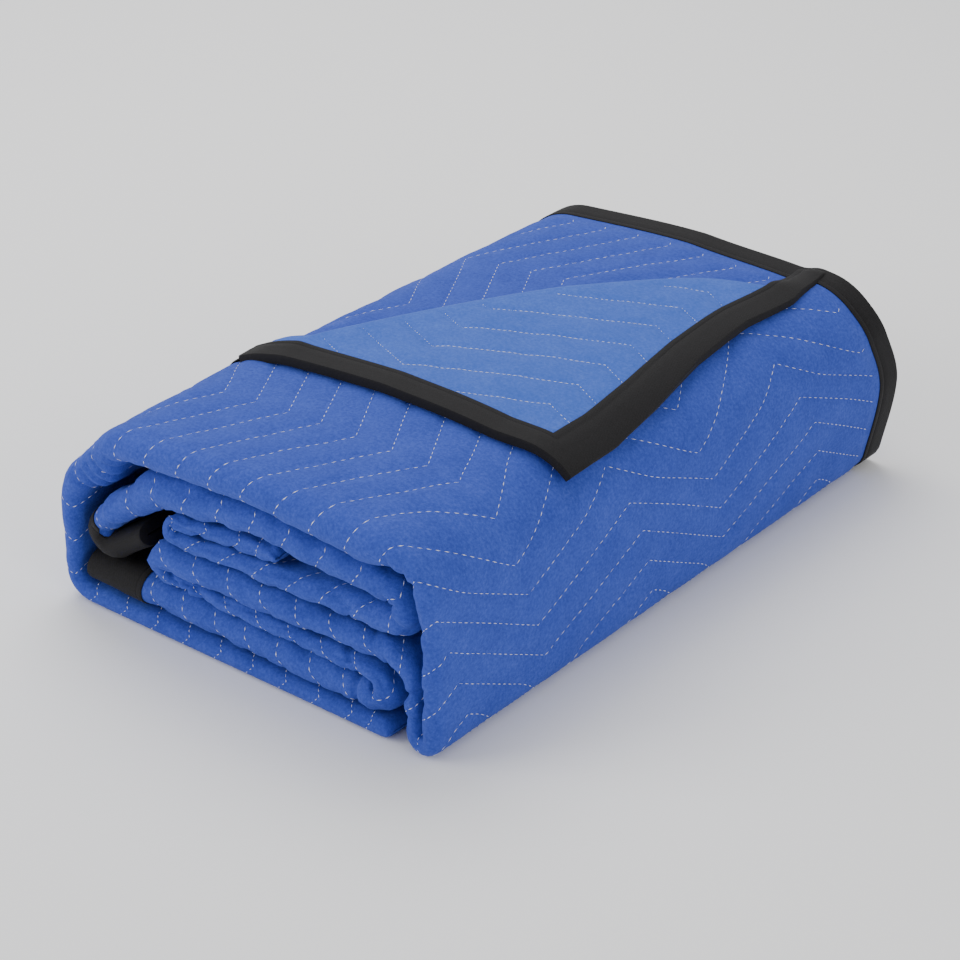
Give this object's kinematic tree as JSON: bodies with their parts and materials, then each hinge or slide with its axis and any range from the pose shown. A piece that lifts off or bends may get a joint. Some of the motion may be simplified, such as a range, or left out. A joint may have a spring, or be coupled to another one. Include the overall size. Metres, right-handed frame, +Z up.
{
  "type": "folded moving blanket",
  "caption": "Quilted moving blanket folded into a flat pile, with a black bound edge and one corner turned back.",
  "frame": {"origin": "on the floor under the middle of the pile", "axes": "+Z up, +Y along the pile from the folded front to the bound far end, +X across the folds to the right"},
  "size_m": [0.358, 0.5489, 0.1792],
  "materials": {
    "quilted_cloth": "matt woven polyester, quilted",
    "binding_tape": "matt woven tape"
  },
  "bodies": {
    "root": {"binding_corner_front": "binding_tape", "binding_corner_side": "binding_tape", "binding_corner_tail": "binding_tape", "binding_far_inner_1": "binding_tape", "binding_far_inner_2": "binding_tape", "binding_far_outer_1": "binding_tape", "binding_far_outer_2": "binding_tape", "binding_lower_end": "binding_tape", "binding_upper_end": "binding_tape", "quilted_cloth": "quilted_cloth"}
  },
  "joints": []
}
